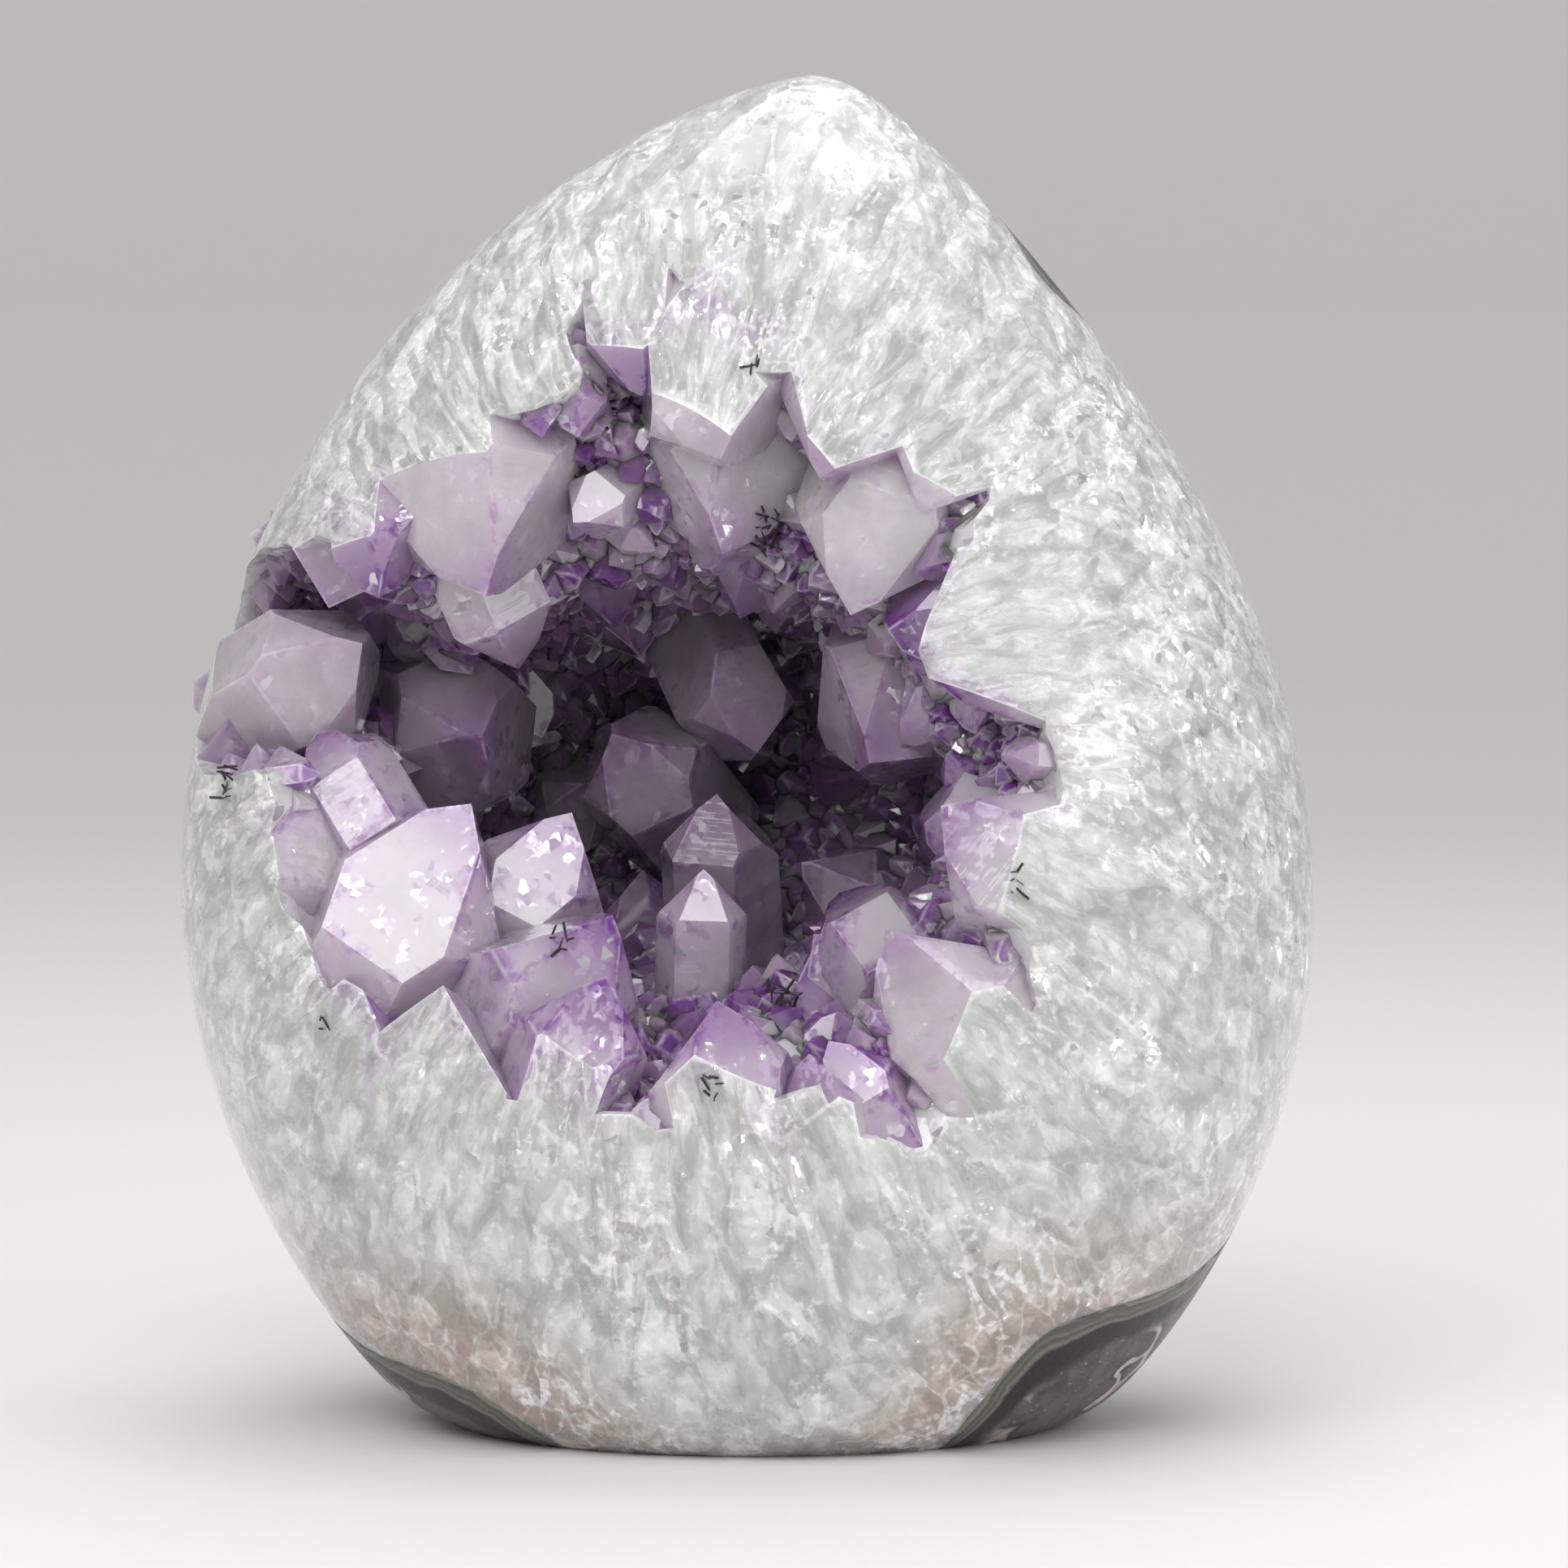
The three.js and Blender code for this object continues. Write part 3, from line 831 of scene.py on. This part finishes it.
def scatterNodes():
    kinds = {"Crystals": "Collection", "Spacing": "Float", "Smallest": "Float", "Largest": "Float",
             "Tilt": "Float", "Seed": "Int", "Finish": "Material"}
    group, tree, given = newGeometry("scatter", kinds)
    seed = given.sibling("Seed")
    points = tree.add("GeometryNodeDistributePointsOnFaces", {"distribute_method": "POISSON"}, {
        "Mesh": given, "Distance Min": given.sibling("Spacing"), "Density Max": 10.0, "Seed": seed})
    tilt = given.sibling("Tilt")
    lean = tree.add("FunctionNodeRandomValue", {"data_type": "FLOAT_VECTOR"}, {
        "Min": tree.vector("MULTIPLY", tilt, (-1, -1, -1)), "Max": tilt, "Seed": seed})
    facing = tree.vector("ADD", points.sibling("Normal"), lean)
    rotation = tree.add("FunctionNodeAlignRotationToVector", {"axis": "Z"}, {"Vector": facing})
    size = tree.add("FunctionNodeRandomValue", {}, {
        2: given.sibling("Smallest"), 3: given.sibling("Largest"), "Seed": seed}, 1)
    crystals = tree.add("GeometryNodeCollectionInfo", {}, {
        "Collection": given.sibling("Crystals"), "Separate Children": True, "Reset Children": True})
    placed = tree.add("GeometryNodeInstanceOnPoints", {}, {
        "Points": points, "Instance": crystals, "Pick Instance": True, "Rotation": rotation, "Scale": size})
    solid = tree.add("GeometryNodeRealizeInstances", {}, {"Geometry": placed})
    finished = tree.add("GeometryNodeSetMaterial", {}, {
        "Geometry": solid, "Material": given.sibling("Finish")})
    tree.add("NodeGroupOutput", {}, {"Geometry": finished})
    return group


def scatter(bed, form, tip, finish):      # small crystals on the bed, with their points at the height tip
    patterns = bpy.data.collections.new("patterns")
    for i in range(form["patterns"]):
        planes = crystalPlanes((0, 0, tip), (0, 0, 1), form["radius"], 0, form["length"], 9000 + i)
        look = {"shade": chance(i * 13 + 5), "purple": 0.6 + 0.3 * i}
        crystal = {"planes": planes, "along": np.array((0, 0, 1)), **look}
        patterns.objects.link(crystalObject(crystal, finish))
    grow(bed, scatterNodes(), {
        "Crystals": patterns, "Spacing": form["spacing"], "Smallest": form["smallest"],
        "Largest": form["largest"], "Tilt": form["tilt"], "Seed": form["seed"], "Finish": finish})
    for pattern in list(patterns.objects):
        bpy.data.objects.remove(pattern)
    bpy.data.collections.remove(patterns)
    return bed


def crystalDruse():          # small crystals on the wall of the cave, between the larger ones
    form = druseForm
    bed = bmesh.new()
    bed.from_mesh(quartz.data)
    wall = list(quartz.data.materials).index(wallMaterial)
    middles = np.array([f.calc_center_median()[:] for f in bed.faces])
    buried = skinDepths(middles) > form["bareRim"]
    spare = [f for f, keep in zip(bed.faces, buried) if f.material_index != wall or not keep]
    bmesh.ops.delete(bed, geom=spare, context="FACES")
    druse = newObject("druse", [], [])
    bed.to_mesh(druse.data)
    bed.free()
    scatter(druse, form, form["radius"], faceMaterial)
    writePoints(druse.data, "skinDepth", skinDepths(pointPlaces(druse.data)))
    return druse


needleForm = {
    "colour": (0.012, 0.008, 0.012),
    "wornColour": (0.05, 0.035, 0.04),
    "spots": [               # across, up and how wide the cluster is
        (-19.7, 116, 7), (-14, 119, 4), (-10.6, 107, 4), (1, 106.5, 5), (-0.5, 125, 2), (-61, 77.5, 4),
        (-49, 51, 2), (3.5, 52, 7), (-4.6, 45, 3), (28.8, 67.5, 3), (-22, 60.5, 3),
    ],
    "spacing": 0.75,
    "smallest": 0.4,
    "largest": 1.2,
    "tilt": 1.6,
    "seed": 3,
    "patterns": 2,
    "radius": 0.16,
    "length": 2.6,
}


def crystalNeedles():        # thin black crystals in clusters on the faces
    form = needleForm
    wall = BVHTree.FromObject(quartz, bpy.context.evaluated_depsgraph_get())
    points, faces = [], []
    for across, up, wide in form["spots"]:
        place, facing = wall.ray_cast(Vector((across, -200, up)), Vector((0, 1, 0)))[:2]
        side = facing.cross(Vector((0, 0, 1))).normalized() * wide * 0.3
        rise = side.cross(facing).normalized() * wide * 0.5
        first = len(points)
        points += [place - side - rise, place + side - rise, place + side + rise, place - side + rise]
        faces.append((first, first + 1, first + 2, first + 3))
    return scatter(newObject("needles", points, faces), form, form["length"] / 2, needleMaterial)


def finishPiece(piece, name, node):
    piece.name = piece.data.name = name
    piece.data.transform(Matrix.Scale(unit, 4))
    piece.data.update()
    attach(piece, "root")
    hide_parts(node)


quartzMaterial = newMaterial("polishedQuartz", polishedQuartz)
faceMaterial = newMaterial("amethystFace", crystalFace)
wallMaterial = newMaterial("caveWall", crystalFace)
rindMaterial = newMaterial("polishedRind", polishedRind)
needleMaterial = newMaterial("needleFinish", needleFinish)

large, lining = allCrystals()
quartz = eggObject(quartzMaterial, 0.5)
combine(quartz, "DIFFERENCE", [hollowObject(h, wallMaterial) for h in hollows])
combine(quartz, "UNION", [crystalObject(c, faceMaterial) for c in large + lining])
combine(quartz, "INTERSECT", [eggObject(quartzMaterial)])
combine(quartz, "INTERSECT", [rindObject(quartzMaterial)])
keepLargest(quartz)
writeDepths(quartz.data)
smoothPolish(quartz.data)
print("quartz:", len(quartz.data.polygons), "faces")

rind = eggObject(rindMaterial)
combine(rind, "DIFFERENCE", [rindObject(rindMaterial)])
keepLargest(rind)
writePoints(rind.data, "rindDepth", rindDepths(pointPlaces(rind.data)))
smoothPolish(rind.data)
print("rind:", len(rind.data.polygons), "faces")

druse = crystalDruse()
print("druse:", len(druse.data.polygons), "faces")
needles = crystalNeedles()
print("needles:", len(needles.data.polygons), "faces")

finishPiece(quartz, "quartzBody", "quartz_with_crystals")
finishPiece(druse, "crystalDruse", "quartz_with_crystals")
finishPiece(needles, "blackNeedles", "quartz_with_crystals")
finishPiece(rind, "agateRind", "agate_rind")


# Floor, light and camera.

studio = {
    "floorProfile": [(1.2, 0), (1.8, 0.03), (2.4, 0.2), (2.8, 0.6), (3, 1.2)],   # radius and height
    "floorSegments": 64,
    "floor": (0.78, 0.77, 0.76),
    "floorGrain": (0.66, 0.65, 0.64),
    "world": (0.80, 0.80, 0.80),
    "worldPower": 0.8,
    "lightsAimAt": (0, 0, 0.08),
    "lookAt": (0.0031, 0, 0.076),
    "distance": 0.7,
    "elevation": 3,
    "frameHeight": 0.1867,   # what the view takes in at the stone, from bottom to top
    "sensor": 36,
}


softboxes = [                # name, place, size and watts
    ("key", (-0.25, -0.75, 0.75), (0.8, 0.6), 5.5),
    ("fill", (0.7, -0.5, 0.35), (0.6, 0.6), 2),
    ("top", (0.1, 0.2, 0.9), (0.6, 0.6), 2.5),
]


def floorFinish(tree):
    place = tree.place()
    grain = tree.noise(place, 1.5, 3)
    colour = tree.blend(grain * 0.15, studio["floor"], studio["floorGrain"])
    return tree.surface(**{"Base Color": colour, "Roughness": 0.8, "Normal": tree.bump(0.05 * grain)}), None


def addFloor():              # flat under the stone, and rising far from it
    count = studio["floorSegments"]
    points, faces = [(0, 0, 0)], [(0, 1 + j, 1 + (j + 1) % count) for j in range(count)]
    for ring, (radius, height) in enumerate(studio["floorProfile"]):
        first = 1 + ring * count
        for j in range(count):
            angle = 2 * math.pi * j / count
            points.append((radius * math.cos(angle), radius * math.sin(angle), height))
            if ring:
                k = (j + 1) % count
                faces.append((first - count + j, first + j, first + k, first - count + k))
    floor = newObject("floor", points, faces, newMaterial("floorFinish", floorFinish))
    floor.data.shade_smooth()


def addSoftbox(name, place, size, power):
    light = bpy.data.lights.new(name, "AREA")
    light.shape, light.size, light.size_y, light.energy = "RECTANGLE", size[0], size[1], power
    lamp = bpy.data.objects.new(name, light)
    scene.collection.objects.link(lamp)
    lamp.location = place
    aim = Vector(studio["lightsAimAt"]) - Vector(place)
    lamp.rotation_euler = aim.to_track_quat("-Z", "Y").to_euler()


def addWorld():
    world = bpy.data.worlds.new("studio")
    world.use_nodes = True
    tree = Tree(world.node_tree)
    sky = tree.add("ShaderNodeBackground", {}, {"Color": studio["world"], "Strength": studio["worldPower"]})
    tree.add("ShaderNodeOutputWorld", {}, {"Surface": sky})
    scene.world = world


def addCamera():
    camera = bpy.data.cameras.new("camera")
    camera.sensor_width = studio["sensor"]
    camera.lens = studio["sensor"] * studio["distance"] / studio["frameHeight"]
    holder = bpy.data.objects.new("camera", camera)
    scene.collection.objects.link(holder)
    aim, lift = Vector(studio["lookAt"]), math.radians(studio["elevation"])
    back = Vector((0, -math.cos(lift), math.sin(lift)))
    holder.location = aim + back * studio["distance"]
    holder.rotation_euler = (-back).to_track_quat("-Z", "Y").to_euler()
    scene.camera = holder


addFloor()
addWorld()
for softbox in softboxes:
    addSoftbox(*softbox)
addCamera()
scene.view_settings.view_transform = "Standard"
